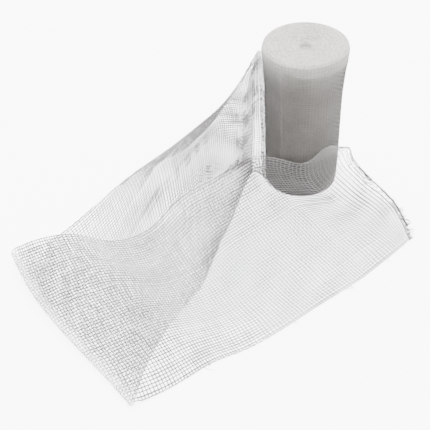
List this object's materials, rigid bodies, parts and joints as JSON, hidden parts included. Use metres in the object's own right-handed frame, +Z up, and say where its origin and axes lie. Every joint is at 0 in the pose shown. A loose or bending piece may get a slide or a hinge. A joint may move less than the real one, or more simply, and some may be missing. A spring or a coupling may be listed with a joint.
{
  "type": "gauze bandage roll",
  "caption": "Roll of open-weave cotton gauze standing on end, its loose end paid out, folded back over itself and leaned on the roll's foot.",
  "frame": {"origin": "middle of the roll's flat foot, on the surface that it stands on", "axes": "+Z up along the roll, +X towards the side of the cut end and away from the fold, +Y away from the side that the loose end lies on"},
  "size_m": [0.1828, 0.1587, 0.075],
  "materials": {
    "wound_gauze": "matte",
    "loose_gauze": "matte"
  },
  "bodies": {
    "root": {"roll": "wound_gauze", "loose_end": "loose_gauze", "frayed_end": "loose_gauze"}
  },
  "joints": []
}
